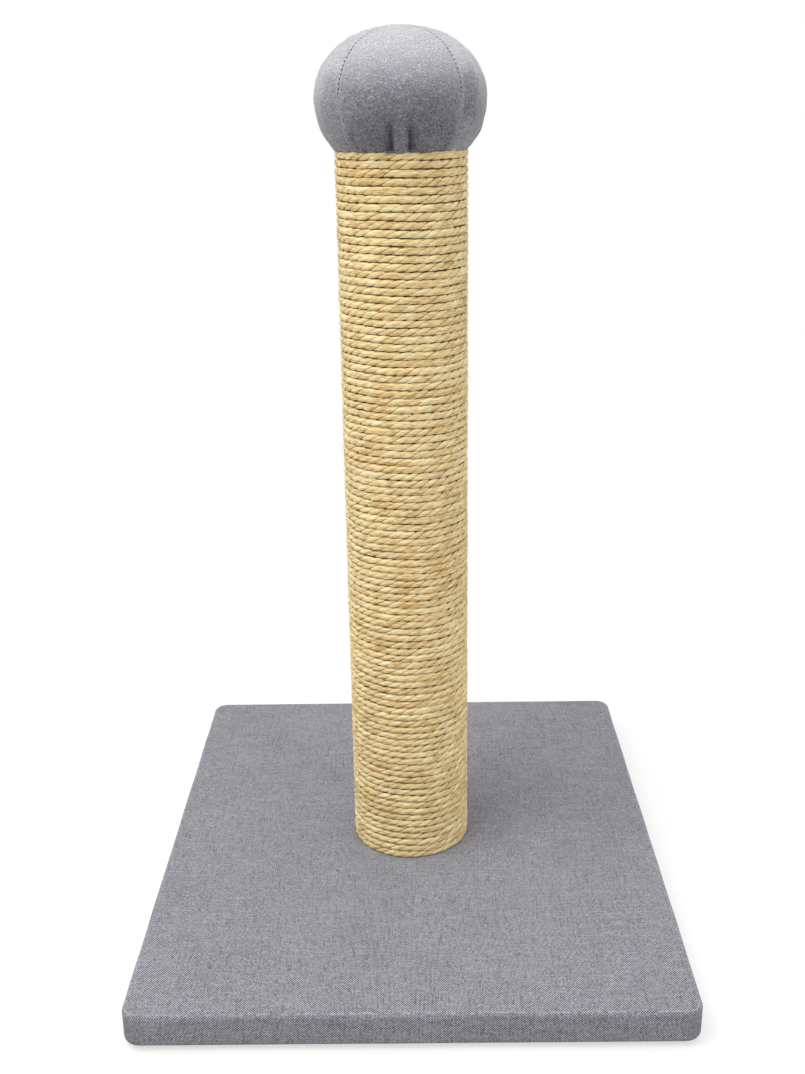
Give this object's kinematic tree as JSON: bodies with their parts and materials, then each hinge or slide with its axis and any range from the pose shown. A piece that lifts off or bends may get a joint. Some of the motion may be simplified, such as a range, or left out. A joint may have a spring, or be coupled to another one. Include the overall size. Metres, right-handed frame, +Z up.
{
  "type": "cat scratching post",
  "caption": "Upright post wound with sisal rope on a rectangular fabric-covered base, with a stuffed plush ball on top.",
  "frame": {"origin": "on the floor, under the middle of the base, on the post's axis", "axes": "+Z up along the post, front of the base towards -Y, +X to the right seen from the front"},
  "size_m": [0.4, 0.468, 0.6648],
  "materials": {
    "particle_board": "raw particle board",
    "foam": "open-cell foam",
    "linen": "woven melange grey linen look",
    "lining": "non-woven lining",
    "felt": "pressed felt",
    "steel": "zinc plated",
    "paper_tube": "spiral-wound paper",
    "plug_wood": "plywood",
    "sisal": "three-strand sisal rope",
    "plush": "short-pile plush",
    "stuffing": "polyester fibre fill"
  },
  "bodies": {
    "root": {"base_board": "particle_board", "base_bolt": "steel", "base_cover": "linen", "base_foam": "foam", "base_lining": "lining", "base_washer": "steel", "cap_disc": "plug_wood", "cap_gore_front": "plush", "cap_gore_left": "plush", "cap_gore_rear": "plush", "cap_gore_right": "plush", "cap_staples": "steel", "cap_stud": "steel", "cap_stuffing": "stuffing", "cap_t_nut": "steel", "cover_staples": "steel", "foot_front_left": "felt", "foot_front_right": "felt", "foot_rear_left": "felt", "foot_rear_right": "felt", "lining_staples": "steel", "lower_plug": "plug_wood", "lower_t_nut": "steel", "plug_staples": "steel", "post_tube": "paper_tube", "rope_staples": "steel", "sisal_rope": "sisal", "upper_plug": "plug_wood", "upper_t_nut": "steel"}
  },
  "joints": []
}
